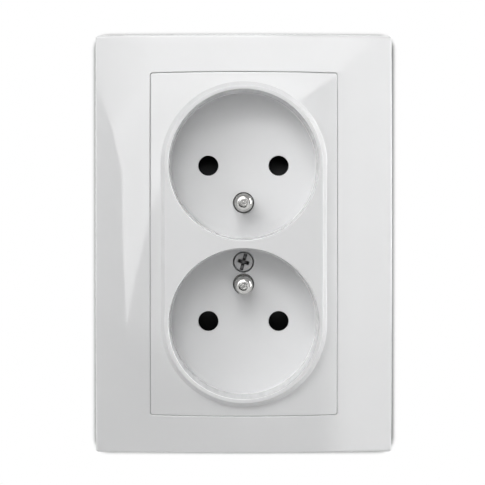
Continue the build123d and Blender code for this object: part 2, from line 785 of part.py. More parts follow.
# Claws: bent strips that hinge on pins in the bracket's ears, with a toothed outer end
for hand, side in sides.items():
    with BuildPart() as claw:
        with BuildSketch(Plane.XY.offset(-claw_half_width)):
            with BuildLine():
                Polyline(
                    (side * (claw_screw_x - claw_arm_overrun), claw_pivot_depth - claw_strip / 2),
                    (side * claw_pivot_x, claw_pivot_depth - claw_strip / 2),
                    (side * claw_pivot_x, claw_pivot_depth + claw_strip / 2),
                    (side * (claw_screw_x - claw_arm_overrun), claw_pivot_depth + claw_strip / 2),
                    close=True,
                )
            make_face()
            with BuildLine():
                Polyline(
                    (side * (claw_pivot_x - claw_strip / 2), claw_pivot_depth),
                    (side * (claw_pivot_x + claw_strip / 2), claw_pivot_depth),
                    (side * (claw_pivot_x + claw_strip / 2), claw_end - claw_hook - claw_strip),
                    (side * (claw_pivot_x + claw_strip / 2 + claw_hook), claw_end - claw_strip),
                    (side * (claw_pivot_x + claw_strip / 2 + claw_hook), claw_end),
                    (side * (claw_pivot_x + claw_strip / 4), claw_end),
                    (side * (claw_pivot_x - claw_strip / 2), claw_end - claw_hook),
                    close=True,
                )
            make_face()
            with Locations((side * claw_pivot_x, claw_pivot_depth)):
                Circle(claw_eye_radius + claw_eye_wall)
                Circle(claw_eye_radius, mode=Mode.SUBTRACT)
        extrude(amount=2 * claw_half_width)
        with BuildSketch(Plane.YZ.offset(side * claw_pivot_x)):
            with Locations((claw_end, 0)):
                with GridLocations(0, tooth_pitch, 1, claw_teeth - 1):
                    RegularPolygon(tooth_depth, 4)
        extrude(amount=side * (claw_strip + claw_hook), both=True, mode=Mode.SUBTRACT)
    finish(claw, f"{hand}_claw")

    with BuildPart() as claw_pin:
        with BuildSketch(Plane.XY.offset(-ear_outer_z - part_gap)):
            with Locations((side * claw_pivot_x, claw_pivot_depth)):
                Circle(claw_pin_radius)
        extrude(amount=2 * (ear_outer_z + part_gap))
    finish(claw_pin, f"{hand}_claw_pin")

    with BuildPart() as claw_screw:
        with BuildSketch(at_height(claw_screw_tip)):
            with Locations((side * claw_screw_x, 0)):
                Circle(claw_screw_radius)
        extrude(amount=claw_screw_seat - claw_screw_tip)
        chamfer(claw_screw.faces().sort_by(Axis.Y).last.edges(), claw_screw_point)
        with BuildSketch(at_height(claw_screw_seat)):
            with Locations((side * claw_screw_x, 0)):
                Circle(claw_screw_head_radius)
        extrude(amount=claw_screw_head)
        with BuildSketch(at_height(claw_screw_seat + claw_screw_head)):
            with Locations((side * claw_screw_x, 0)):
                Rectangle(drive_width, 2 * claw_screw_head_radius)
        extrude(amount=-drive_depth, mode=Mode.SUBTRACT)
    finish(claw_screw, f"{hand}_claw_screw")
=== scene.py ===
import json
import math

import bmesh
import bpy
import numpy as np
from mathutils import Matrix, Vector
from mathutils.geometry import delaunay_2d_cdt


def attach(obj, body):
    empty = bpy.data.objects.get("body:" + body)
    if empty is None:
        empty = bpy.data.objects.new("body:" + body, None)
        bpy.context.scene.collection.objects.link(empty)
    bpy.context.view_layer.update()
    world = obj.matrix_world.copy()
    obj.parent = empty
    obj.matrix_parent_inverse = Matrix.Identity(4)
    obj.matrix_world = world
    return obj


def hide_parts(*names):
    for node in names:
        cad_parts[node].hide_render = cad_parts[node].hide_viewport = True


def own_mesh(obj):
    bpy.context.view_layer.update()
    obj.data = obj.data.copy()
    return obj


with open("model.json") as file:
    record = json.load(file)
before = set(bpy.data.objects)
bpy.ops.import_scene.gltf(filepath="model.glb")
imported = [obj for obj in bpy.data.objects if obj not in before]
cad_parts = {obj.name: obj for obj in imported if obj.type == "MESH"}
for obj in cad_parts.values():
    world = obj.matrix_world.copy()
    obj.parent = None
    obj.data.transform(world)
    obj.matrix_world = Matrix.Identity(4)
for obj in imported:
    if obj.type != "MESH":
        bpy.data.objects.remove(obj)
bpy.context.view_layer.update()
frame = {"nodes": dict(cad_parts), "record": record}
scene = bpy.context.scene

MM = 0.001
QUARTER = math.pi / 2

# Sizes of the mouldings in millimetres. Heights are measured from the wall towards the front (-Y).
RIM, CROWN = 18.0, 16.6
LEDGE_FRONT, LEDGE_BACK = 10.0, 8.5
FLOOR, FLOOR_BACK = 3.0, 1.5
SHELL_WALL = 2.0

# The crowned face is an arc along Z, and the radius of the arc falls off towards the sides
ARC_RADIUS, ARC_FALL, ARC_HALF_SPAN = 600.0, 12.0, 60.0

# Wells, and the oval rim round them with its sloping flank
WELL_Z, WELL_R, WELL_OUTER = 21.0, 19.9, 21.4
WELL_DRAFT = math.radians(1.0)
FLOOR_FILLET = 0.6
RIM_LAND, RIM_EDGE = 1.0, 0.3
FLANK, FLANK_FOOT, FOOT_FILLET = math.radians(22.0), 14.4, 0.35
RIM_TOP_R = WELL_R + RIM_LAND
RIM_BASE_R = RIM_TOP_R + (RIM - FLANK_FOOT) * math.tan(FLANK)

# Outlines: half width, half length, bow of the ends, corner radius
COVER_BOW, COVER_CORNER, COVER_SIDE, COVER_END = 0.35, 0.6, 2.35, 2.25
COVER = (RIM_BASE_R + COVER_SIDE, WELL_Z + RIM_BASE_R + COVER_END, COVER_BOW, COVER_CORNER)
COVER_GAP, WINDOW_CORNER = 0.1, 0.7
WINDOW = (COVER[0] + COVER_GAP, COVER[1] + COVER_GAP, COVER_BOW, WINDOW_CORNER)
FRAME_HALF_WIDTH, FRAME_END = 39.6, 10.1
OUTER = (FRAME_HALF_WIDTH, WINDOW[1] + FRAME_END, 0.2, 0.9)
COLLAR_WIDTH, COLLAR_CORNER, LEDGE_WIDTH = 1.6, 2.2, 1.5
COLLAR = (WINDOW[0] + COLLAR_WIDTH, WINDOW[1] + COLLAR_WIDTH, COVER_BOW, COLLAR_CORNER)
LEDGE = (WINDOW[0] - LEDGE_WIDTH, WINDOW[1] - LEDGE_WIDTH, COVER_BOW, COVER_CORNER)
SIDE_POINTS, END_POINTS, CORNER_POINTS, LEAST_CORNER = 96, 64, 9, 0.03

# Walls, drafts and edges of the mouldings
FRAME_WALL, COVER_WALL = 1.8, 1.5
FRAME_EDGE, FRAME_DRAFT, FRAME_CHAMFER = 0.7, math.radians(0.8), 0.3
COVER_EDGE = 0.25
COLLAR_ROUND, BACK_ROUND = 0.3, 0.8
# A loop this far from a rounded edge keeps the shading of the wall or face beside it even
HOLD, RIM_HOLD, FLOOR_HOLD = 0.15, 0.04, 0.05

# Where the loops of the faces lie: heights on a wall, or shares of the way across
FRAME_WAIST, BACK_WAIST, LEDGE_SHARE = 7.0, 6.0, 0.1
FRAME_SHARES = [0.004, 0.012, *np.linspace(0.05, 0.95, 14), 0.988, 0.996]
COVER_SHARES = [0.02, 0.06, 0.15, 0.3, 0.45, 0.6, 0.75, 0.9, 0.97, 0.99]
WELL_HEIGHTS = [17.5, 14.0, 9.0, 5.0, 3.9]
# The back of the frame's face: share and drop, which rounds the corner at the wall
BACK_SHARES = [(0.02, 0.3), (0.1, 0.0), (0.5, 0.0), (0.98, 0.0)]

# Holes in the floors: their places, and their profiles as pairs of radius and height
POLE_X, EARTH_Z, SCREW_Z = 9.5, 11.0, -5.0
POLE_HOLE = [(2.96, FLOOR), (2.9, FLOOR), (2.82, FLOOR - 0.03), (2.73, FLOOR - 0.14), (2.7, FLOOR - 0.3),
             (2.7, FLOOR_BACK)]
EARTH_HOLE = [(2.97, FLOOR), (2.95, FLOOR), (2.88, FLOOR - 0.03), (2.85, FLOOR - 0.1), (2.85, FLOOR_BACK)]
SCREW_HOLE = [(2.96, FLOOR), (2.93, FLOOR), (2.87, FLOOR - 0.03), (2.85, FLOOR - 0.1), (2.85, 0.6), (1.95, 0.6),
              (1.95, -0.4), (3.1, -0.4), (3.1, FLOOR_BACK)]
WELL_POINTS, HOLE_POINTS, PIN_POINTS, SCREW_POINTS = 192, 64, 96, 240

# Earth pin, from its spread tail to its tip, as pairs of radius and height
PIN_R, PIN_TIP, TIP_R = 2.4, 17.0, 0.95
PIN_TAIL = [(2.3, -9.3), (2.5, -9.1), (2.5, -8.5), (1.8, -8.5), (1.8, -7.5), (3.0, -7.5), (3.1, -7.4), (3.1, -6.6),
            (3.0, -6.5), (2.2, -6.5), (2.2, 3.3), (2.36, 3.3)]
PIN_SHANK = [(PIN_R, 3.36), (PIN_R, 9.0), (PIN_R, 15.0)]
PIN_NUB = [(TIP_R, 17.09), (0.93, 17.13), (0.89, 17.15), (0.86, 17.15), (0.62, 17.15), (0.6, 17.145), (0.5, 17.05),
           (0.44, 17.05), (0.36, 17.14), (0.34, 17.145), (0.06, 17.145)]

# Cover screw
SCREW_FRONT, SCREW_SEAT, SCREW_TAIL = FLOOR - 0.4, FLOOR - 2.4, FLOOR - 14.4
SCREW_FACE_R, SCREW_EDGE = 2.3, 0.3
SCREW_TURN = math.radians(15.0)
# Slot and cross: depths, and the distances from the middle between which they run out
SLOT_DEPTH, CROSS_DEPTH = 0.55, 0.98
SLOT_SIDE, SLOT_END = (0.34, 0.46), (2.08, 2.28)
UPRIGHT_SIDE, UPRIGHT_END = (0.24, 0.5), (0.75, 1.3)
LEVEL_SIDE, LEVEL_END = (0.24, 0.52), (1.0, 1.7)
SCREW_BODY = [(2.6, 2.0), (2.6, SCREW_SEAT + 0.1), (2.5, SCREW_SEAT), (1.7, SCREW_SEAT), (1.65, SCREW_SEAT - 0.1),
              (1.65, SCREW_TAIL + 0.4), (1.25, SCREW_TAIL)]

# Material slots of the cover, and the angles in degrees from which an edge is shaded as sharp
GLOSS_SLOT, SATIN_SLOT, WALL_SLOT = 0, 1, 2
MOULDED_SHARP, PIN_SHARP, SCREW_SHARP = 32.0, 40.0, 50.0


# Meshes

class Shell:
    """Collects loops of (x, height, z) points in millimetres and the faces between them."""

    def __init__(self):
        self.points, self.faces, self.slots = [], [], []
        self.slot = 0

    def loop(self, points):
        start = len(self.points)
        self.points += [(x, -h, z) for x, h, z in points]
        return list(range(start, len(self.points)))

    def face(self, corners):
        self.faces.append(corners)
        self.slots.append(self.slot)

    def skin(self, loops):
        """Faces between each loop and the next."""
        for a, b in zip(loops, loops[1:]):
            for i in range(len(a)):
                j = (i + 1) % len(a)
                self.face((a[i], a[j], b[j], b[i]))

    def fill(self, outline, holes=()):
        """Triangles between an outline and the round holes in it."""
        order, owner, edges = [], [], []
        for number, loop in enumerate((outline, *holes)):
            n = len(order)
            edges += [(n + i, n + (i + 1) % len(loop)) for i in range(len(loop))]
            order += loop
            owner += [number] * len(loop)
        flat = [Vector((self.points[i][0], self.points[i][2])) for i in order]
        _, _, faces, source, _, _ = delaunay_2d_cdt(flat, edges, [], 1, 1e-6)
        for corners in faces:
            own = [source[k][0] for k in corners]
            rings = {owner[k] for k in own}
            # a triangle with all its corners on one hole lies inside that hole
            if len(rings) > 1 or 0 in rings:
                self.face(tuple(order[k] for k in own))

    def close(self, loops):
        """A closed body from a row of loops."""
        self.skin(loops)
        self.fill(loops[0])
        self.fill(loops[-1])

    def make(self, name, materials, sharp=MOULDED_SHARP):
        mesh = bpy.data.meshes.new(name)
        mesh.from_pydata([Vector(p) * MM for p in self.points], [], self.faces)
        for material in materials:
            mesh.materials.append(material)
        mesh.polygons.foreach_set("material_index", self.slots)
        work = bmesh.new()
        work.from_mesh(mesh)
        bmesh.ops.recalc_face_normals(work, faces=work.faces)
        work.to_mesh(mesh)
        work.free()
        mesh.shade_smooth()
        mesh.set_sharp_from_angle(angle=math.radians(sharp))
        piece = bpy.data.objects.new(name, mesh)
        scene.collection.objects.link(piece)
        return piece


def crown(plan):
    """Heights of the crowned front surface over points (x, z)."""
    x, z = plan[:, 0], plan[:, 1]
    radius = ARC_RADIUS - ARC_FALL * (1 - np.sqrt(1 - (x / ARC_HALF_SPAN) ** 2))
    return np.sqrt(radius ** 2 - z ** 2) - (ARC_RADIUS - CROWN)


def underside(plan):
    """Heights of the back of the crowned shells."""
    return crown(plan) - SHELL_WALL


def outline(half_width, half_length, bow, corner, inset=0.0):
    """Points (x, z) round a rectangle with bowed ends and round corners, the same count for any size."""
    w, l, r = half_width - inset, half_length - inset, max(corner - inset, LEAST_CORNER)
    turn_z = l - bow * ((w - r) / w) ** 2 - r
    up = np.linspace(-turn_z, turn_z, SIDE_POINTS + 2)[1:-1]
    across = np.linspace(w - r, r - w, END_POINTS + 2)[1:-1]
    angle = np.linspace(0, QUARTER, CORNER_POINTS)
    quarter = np.c_[w - r + r * np.cos(angle), turn_z + r * np.sin(angle)]
    side = np.c_[np.full(SIDE_POINTS, w), up]
    end = np.c_[across, l - bow * (across / w) ** 2]
    half = np.concatenate([side, quarter, end, (quarter * (-1, 1))[::-1]])
    return np.concatenate([half, -half])


def away(shape):
    """Unit vectors that point out of an outline."""
    probe = 0.2
    step = outline(*shape) - outline(*shape, inset=probe)
    return step / np.linalg.norm(step, axis=1)[:, None]


def raised(plan, height):
    """Points (x, height, z) from points (x, z) and one height or one for each."""
    return np.c_[plan[:, 0], np.broadcast_to(height, len(plan)), plan[:, 1]]


def rolled_edge(plan, out, radius, draft=0.0, steps=7):
    """Plans and heights that round the edge between the crowned face and a wall that stands on plan."""
    probe = 0.01
    slope = (crown(plan + out * probe) - crown(plan - out * probe)) / (2 * probe)
    top = crown(plan)
    tilt = np.sqrt(1 + slope ** 2)
    c, s = math.cos(draft), math.sin(draft)
    # the centre lies one radius behind both the wall and the face
    u = (-radius - s * (top - radius * tilt)) / (c + s * slope)
    h = top - radius * tilt + slope * u
    first = np.arctan2(1, -slope)
    rows = []
    for k in np.linspace(0, 1, steps):
        a = first + (draft - first) * k
        rows.append((plan + out * (u + radius * np.cos(a))[:, None], h + radius * np.sin(a)))
    return rows


def crowned_rows(start, end, shares):
    """Loops on the crowned face from one plan to another."""
    plans = [start + (end - start) * t for t in shares]
    return [raised(plan, crown(plan)) for plan in plans]


def circle(x, z, radius, height, count):
    a = np.arange(count) * 2 * math.pi / count
    return np.c_[x + radius * np.cos(a), np.full(count, height), z + radius * np.sin(a)]


def build_frame(material):
    """The outer frame: a crowned shell with a collar and a ledge round its window."""
    shell = Shell()
    window, outer, out = outline(*WINDOW), outline(*OUTER), away(OUTER)
    inside, collar, ledge = outline(*OUTER, inset=FRAME_WALL), outline(*COLLAR), outline(*LEDGE)
    inner_edge = rolled_edge(window, -away(WINDOW), COVER_EDGE)
    outer_edge = rolled_edge(outer, out, FRAME_EDGE, FRAME_DRAFT, 9)
    rows = [raised(window, LEDGE_FRONT), raised(window, inner_edge[-1][1] - HOLD)]
    rows += [raised(*row) for row in reversed(inner_edge)]
    rows += crowned_rows(inner_edge[0][0], outer_edge[0][0], FRAME_SHARES)
    rows += [raised(*row) for row in outer_edge]
    # the drafted wall, down to a chamfer at the back
    for height in (outer_edge[-1][1] - HOLD, FRAME_WAIST, FRAME_CHAMFER + HOLD, FRAME_CHAMFER):
        inward = np.broadcast_to(height * math.tan(FRAME_DRAFT), len(outer))
        rows.append(raised(outer - out * inward[:, None], height))
    rows += [raised(outer - out * FRAME_CHAMFER, 0.0), raised(inside, 0.0)]
    # the hollow back
    rows += [raised(inside, BACK_WAIST), raised(inside, underside(inside) - BACK_ROUND)]
    for share, drop in BACK_SHARES:
        plan = inside + (collar - inside) * share
        rows.append(raised(plan, underside(plan) - drop))
    rows += [raised(collar, underside(collar) - COLLAR_ROUND), raised(collar, LEDGE_BACK + COLLAR_ROUND)]
    rows += [raised(collar + (ledge - collar) * LEDGE_SHARE, LEDGE_BACK), raised(ledge, LEDGE_BACK)]
    rows += [raised(ledge, LEDGE_FRONT)]
    loops = [shell.loop(row) for row in rows]
    shell.skin(loops + loops[:1])
    return shell.make("outer_frame_moulding", [material])


def stadium(plan, radius):
    """The points of an oval of this radius that lie next to the points of an outline."""
    foot = np.c_[np.zeros(len(plan)), np.clip(plan[:, 1], -WELL_Z, WELL_Z)]
    step = plan - foot
    return foot + step / np.linalg.norm(step, axis=1)[:, None] * np.reshape(radius, (-1, 1))


def rim_foot(cover):
    """Plans and heights of the small fillet where the flank of the rim meets the crowned face."""
    r, probe = FOOT_FILLET, 0.05
    rho = np.full(len(cover), RIM_TOP_R)
    for _ in range(13):
        rho = RIM_TOP_R + (RIM - crown(stadium(cover, rho))) * math.tan(FLANK)
    top = crown(stadium(cover, rho))
    slope = (crown(stadium(cover, rho + probe)) - top) / probe
    tilt = np.sqrt(1 + slope ** 2)
    c, s = math.cos(FLANK), math.sin(FLANK)
    u = (r - s * r * tilt) / (c + s * slope)
    h = slope * u + r * tilt
    first, last = math.pi + FLANK, np.arctan2(-1, slope) + 2 * math.pi
    turns = [first + (last - first) * k for k in np.linspace(0, 1, 6)]
    return [(stadium(cover, rho + u + r * np.cos(a)), top + h + r * np.sin(a)) for a in turns]


def build_well(shell, z):
    """Rounded mouth, drafted wall and the fillet at the floor. Gives the mouth's and the floor's loop."""
    def ring(radius, height):
        return shell.loop(circle(0, z, radius, height, WELL_POINTS))

    d, e, f = WELL_DRAFT, RIM_EDGE, FLOOR_FILLET
    mid = WELL_R + e * (1 - math.sin(d)) / math.cos(d)
    mouth = [ring(mid + RIM_HOLD, RIM)]
    for a in np.linspace(QUARTER, math.pi - d, 7):
        mouth.append(ring(mid + e * math.cos(a), RIM - e + e * math.sin(a)))
    shell.slot = GLOSS_SLOT
    shell.skin(mouth)
    wall = [ring(WELL_R - (RIM - height) * math.tan(d), height) for height in WELL_HEIGHTS]
    shell.slot = WALL_SLOT
    shell.skin(mouth[-1:] + wall)
    low = WELL_R - (f + (RIM - FLOOR - f) * math.sin(d)) / math.cos(d)
    corner = [ring(low + f * math.cos(a), FLOOR + f + f * math.sin(a)) for a in np.linspace(-d, -QUARTER, 8)]
    corner.append(ring(low - FLOOR_HOLD, FLOOR))
    shell.slot = SATIN_SLOT
    shell.skin(wall[-1:] + corner)
    return mouth[0], corner[-1]


def build_floor(shell, side, floor):
    """The floor of a well with its holes. Gives the loops where the holes end at the back."""
    turned = [(x, side * WELL_Z, POLE_HOLE) for x in (-POLE_X, POLE_X)]
    turned.append((0, side * EARTH_Z, EARTH_HOLE))
    if side < 0:
        turned.append((0, SCREW_Z, SCREW_HOLE))
    shell.slot = SATIN_SLOT
    holes, ends = [], []
    for x, z, profile in turned:
        loops = [shell.loop(circle(x, z, radius, height, HOLE_POINTS)) for radius, height in profile]
        shell.skin(loops)
        holes.append(loops[0])
        ends.append(loops[-1])
    shell.fill(floor, holes)
    return ends


def build_back(shell, skirt_foot, ends):
    """The hidden side of the cover: skirt, underside of the plate and the outside of the wells."""
    lining = outline(*COVER, inset=COVER_WALL)
    waist = stadium(lining, WELL_OUTER)
    between = np.abs(lining[:, 1]) < WELL_Z
    across = np.sqrt(WELL_OUTER ** 2 - (WELL_Z - np.abs(lining[between, 1])) ** 2)
    waist[between] = np.c_[np.sign(lining[between, 0]) * across, lining[between, 1]]
    halfway = lining + (waist - lining) * 0.5
    rows = [raised(lining, LEDGE_FRONT)]
    rows += [raised(plan, underside(plan)) for plan in (lining, halfway, waist)]
    rows.append(raised(waist, FLOOR_BACK))
    loops = [shell.loop(row) for row in rows]
    shell.slot = GLOSS_SLOT
    shell.skin([skirt_foot] + loops)
    shell.fill(loops[-1], ends)


def build_cover(gloss, satin, wall):
    """The centre cover: a crowned plate with an oval rim and two wells."""
    shell = Shell()
    cover = outline(*COVER)
    edge, foot = rolled_edge(cover, away(COVER), COVER_EDGE), rim_foot(cover)
    rows = [raised(cover, LEDGE_FRONT), raised(cover, edge[-1][1] - HOLD)]
    rows += [raised(*row) for row in reversed(edge)]
    rows += crowned_rows(edge[0][0], foot[-1][0], COVER_SHARES)
    rows += [raised(*row) for row in reversed(foot)]
    # the rounded outer edge of the rim
    e = RIM_EDGE
    middle = RIM_TOP_R - e * (1 - math.sin(FLANK)) / math.cos(FLANK)
    for a in FLANK + (QUARTER - FLANK) * np.linspace(0, 1, 6):
        rows.append(raised(stadium(cover, middle + e * math.cos(a)), RIM - e + e * math.sin(a)))
    rows.append(raised(stadium(cover, middle - RIM_HOLD), RIM))
    loops = [shell.loop(row) for row in rows]
    shell.skin(loops)
    sides = (1, -1)
    mouths, floors = zip(*[build_well(shell, side * WELL_Z) for side in sides])
    shell.slot = GLOSS_SLOT
    shell.fill(loops[-1], mouths)
    ends = []
    for side, floor in zip(sides, floors):
        ends += build_floor(shell, side, floor)
    build_back(shell, loops[0], ends)
    return shell.make("socket_cover_moulding", [gloss, satin, wall])


def build_pin(name, z, material):
    """A turned earth pin: spread tail, collar, neck, shank and a rounded end with the turning nub."""
    shell = Shell()
    # a quarter-round shoulder, and the flat tip that the cutting-off tool leaves
    r = PIN_R - TIP_R
    shoulder = [(TIP_R + r * math.cos(a), PIN_TIP - r + r * math.sin(a)) for a in np.linspace(0, QUARTER, 19)]
    profile = PIN_TAIL + PIN_SHANK + shoulder + PIN_NUB
    shell.close([shell.loop(circle(0, z, radius, height, PIN_POINTS)) for radius, height in profile])
    return shell.make(name, [material], PIN_SHARP)


def fade(distance, full, none):
    """1 up to one distance, 0 from another, and smooth between."""
    t = np.clip((none - np.abs(distance)) / (none - full), 0, 1)
    return t * t * (3 - 2 * t)


def build_screw(name, material):
    """The cover screw: a cheese head with a worn slot, and a deeper cross with tapered arms in it."""
    shell = Shell()
    a = np.arange(SCREW_POINTS) * 2 * math.pi / SCREW_POINTS
    c, s = math.cos(SCREW_TURN), math.sin(SCREW_TURN)

    def ring(radius, height):
        height = np.broadcast_to(height, SCREW_POINTS)
        return shell.loop(np.c_[radius * np.sin(a), height, SCREW_Z + radius * np.cos(a)])

    loops = []
    for r in (0.03, *np.linspace(0.07, SCREW_FACE_R, 58)):
        x, z = r * np.sin(a), r * np.cos(a)
        along, across = x * s + z * c, x * c - z * s
        slot = SLOT_DEPTH * fade(across, *SLOT_SIDE) * fade(r, *SLOT_END)
        upright = fade(across, *UPRIGHT_SIDE) * fade(along, *UPRIGHT_END)
        level = fade(along, *LEVEL_SIDE) * fade(across, *LEVEL_END)
        loops.append(ring(r, SCREW_FRONT - np.maximum(slot, CROSS_DEPTH * np.maximum(upright, level))))
    # the rounded edge goes on from the last of these
    for k in np.linspace(0, QUARTER, 7)[1:]:
        loops.append(ring(SCREW_FACE_R + SCREW_EDGE * math.sin(k), SCREW_FRONT - SCREW_EDGE * (1 - math.cos(k))))
    loops += [ring(*row) for row in SCREW_BODY]
    shell.close(loops)
    return shell.make(name, [material], SCREW_SHARP)


# Materials

class Nodes:
    """A short way to write node trees."""

    def __init__(self, name):
        self.material = bpy.data.materials.new(name)
        self.material.use_nodes = True
        self.start(self.material.node_tree, "ShaderNodeOutputMaterial")

    def start(self, tree, output):
        self.tree = tree
        self.tree.nodes.clear()
        self.output = self.add(output)

    @classmethod
    def of(cls, tree, output):
        nodes = cls.__new__(cls)
        nodes.start(tree, output)
        return nodes

    def add(self, kind, settings=None, **inputs):
        node = self.tree.nodes.new(kind)
        for key, value in (settings or {}).items():
            setattr(node, key, value)
        for key, value in inputs.items():
            self.put(node.inputs[key.replace("_", " ")], value)
        return node

    def put(self, socket, value):
        if isinstance(value, bpy.types.NodeSocket):
            self.tree.links.new(value, socket)
        else:
            socket.default_value = value

    def most(self, *values):
        """The largest of some values."""
        largest = values[0]
        for value in values[1:]:
            node = self.add("ShaderNodeMath", {"operation": "MAXIMUM"})
            self.put(node.inputs[0], largest)
            self.put(node.inputs[1], value)
            largest = node.outputs[0]
        return largest

    def seen(self):
        """1 where the camera, a reflection or glass shows the surface, 0 where it only lights others."""
        path = self.add("ShaderNodeLightPath").outputs
        return self.most(path["Is Camera Ray"], path["Is Glossy Ray"], path["Is Transmission Ray"])

    def mix(self, fac, first, second):
        node = self.add("ShaderNodeMixShader", Fac=fac)
        for number, shader in ((1, first), (2, second)):
            self.put(node.inputs[number], shader.outputs[0] if isinstance(shader, bpy.types.Node) else shader)
        return node.outputs[0]

    def at(self):
        return self.add("ShaderNodeTexCoord").outputs["Object"]

    def stretched(self, scale):
        return self.add("ShaderNodeMapping", Vector=self.at(), Scale=scale).outputs["Vector"]

    def noise(self, scale, detail=3.0, vector=None, rough=0.5):
        return self.add("ShaderNodeTexNoise", Vector=vector or self.at(), Scale=scale, Detail=detail,
                        Roughness=rough).outputs["Fac"]

    def span(self, value, low, high, first=0.3, last=0.7):
        """Maps the values from first to last to those from low to high."""
        node = self.add("ShaderNodeMapRange", {"clamp": True}, Value=value)
        for key, number in (("From Min", first), ("From Max", last), ("To Min", low), ("To Max", high)):
            node.inputs[key].default_value = number
        return node.outputs["Result"]

    def tint(self, fac, low, high, first=0.3, last=0.7):
        """A colour that goes from low to high between two values."""
        ramp = self.add("ShaderNodeValToRGB", Fac=fac)
        for stop, place, colour in zip(ramp.color_ramp.elements, (first, last), (low, high)):
            stop.position, stop.color = place, (*colour, 1)
        return ramp.outputs["Color"]

    def shade_recesses(self, colour, reach, low, high, shade_colour=(0.02, 0.02, 0.02)):
        """Painted shade: darkens a colour towards a near-black shade colour in narrow recesses of the piece, by
        ambient occlusion.
        """
        shelter = self.add("ShaderNodeAmbientOcclusion", {"samples": 8, "only_local": True}, Distance=reach)
        unshaded = self.span(shelter.outputs["AO"], 0.0, 1.0, low, high)
        node = self.add("ShaderNodeMix", {"data_type": "RGBA"})
        self.put(node.inputs["Factor"], unshaded)
        self.put(node.inputs[6], (*shade_colour, 1))
        self.put(node.inputs[7], colour)
        return node.outputs[2]

    def bump(self, height, distance, strength, under=None):
        node = self.add("ShaderNodeBump", Height=height, Distance=distance, Strength=strength)
        if under:
            self.put(node.inputs["Normal"], under)
        return node.outputs["Normal"]

    def surface(self, **inputs):
        shader = self.add("ShaderNodeBsdfPrincipled", **inputs)
        self.put(self.output.inputs["Surface"], shader.outputs[0])
        return self.material


WHITE = ((0.852, 0.855, 0.860), (0.864, 0.867, 0.872))
STEEL = ((0.46, 0.46, 0.465), (0.56, 0.56, 0.565))


def white_gloss(name):
    """Polished urea moulding: even colour, a faint flow in it and a very slight unevenness of the gloss."""
    n = Nodes(name)
    flow = n.noise(90, 4)
    fine = n.noise(2600, 2)
    return n.surface(
        Base_Color=n.tint(flow, *WHITE),
        Roughness=n.span(n.noise(420, 4), 0.03, 0.05),
        IOR=1.8,
        Normal=n.bump(fine, 0.00002, 0.05, n.bump(n.noise(160, 2), 0.0004, 0.012)),
    )


def white_satin(name):
    """The same plastic with the spark-eroded texture of the mould on it."""
    n = Nodes(name)
    grain = n.noise(5200, 3, rough=0.65)
    return n.surface(
        Base_Color=n.tint(n.noise(110, 4), *WHITE),
        Roughness=n.span(grain, 0.40, 0.52),
        IOR=1.5,
        Normal=n.bump(grain, 0.00003, 0.16),
    )


def white_wall(name):
    """The same plastic where the mould's core was drawn along it: half gloss, with faint drag lines."""
    n = Nodes(name)
    drag = n.noise(1.0, 3, n.stretched((700, 40, 700)))
    return n.surface(
        Base_Color=n.tint(n.noise(110, 4), *WHITE),
        Roughness=n.span(drag, 0.14, 0.2),
        IOR=1.6,
        Normal=n.bump(drag, 0.00001, 0.03),
    )


def nickel(name):
    """Turned and nickel plated: rings round the axis, soft stains in the plating, and painted shade darkening its
    narrow recesses.
    """
    n = Nodes(name)
    rings = n.noise(1.0, 4, n.stretched((60, 5200, 60)))
    stain = n.noise(900, 3)
    return n.surface(
        # painted shade: the colour darkens in recesses within half a millimetre, such as where the pin passes into
        # its hole
        Base_Color=n.shade_recesses(n.tint(stain, (0.58, 0.575, 0.56), (0.68, 0.675, 0.66)), 0.0005, 0.35, 0.7),
        Metallic=1.0,
        Roughness=n.span(rings, 0.12, 0.22),
        Normal=n.bump(rings, 0.00002, 0.25, n.bump(stain, 0.0001, 0.04)),
    )


def rolled_metal(name, dark, bright, rough, along=(40, 40, 900), recess_shade=None):
    """Rolled strip: fine lines along it, soft blotches and small nicks."""
    n = Nodes(name)
    lines = n.noise(3.0, 5, n.stretched(along), 0.7)
    blotch = n.noise(260, 4)
    nicks = n.noise(3400, 2)
    colour = n.tint(blotch, dark, bright)
    return n.surface(
        # painted shade: where asked for, the colour darkens in narrow recesses
        Base_Color=n.shade_recesses(colour, *recess_shade) if recess_shade else colour,
        Metallic=1.0,
        Roughness=n.span(lines, rough - 0.07, rough + 0.09),
        Normal=n.bump(lines, 0.00003, 0.14, n.bump(nicks, 0.00003, 0.1)),
    )


def screw_metal(name, *recess_shade):
    """Turned and passivated steel without a direction, with painted shade in its recesses."""
    return rolled_metal(name, *STEEL, 0.42, (300, 300, 300), recess_shade)


def matt_plastic(name, dark, bright, rough):
    """Moulded thermoset or nylon: fine pitted skin with faint flow marks."""
    n = Nodes(name)
    pits = n.noise(3800, 3, rough=0.7)
    return n.surface(
        Base_Color=n.tint(n.noise(140, 5), dark, bright),
        Roughness=n.span(pits, rough - 0.08, rough + 0.08),
        IOR=1.5,
        Normal=n.bump(pits, 0.00005, 0.3, n.bump(n.noise(240, 3), 0.0002, 0.06)),
    )


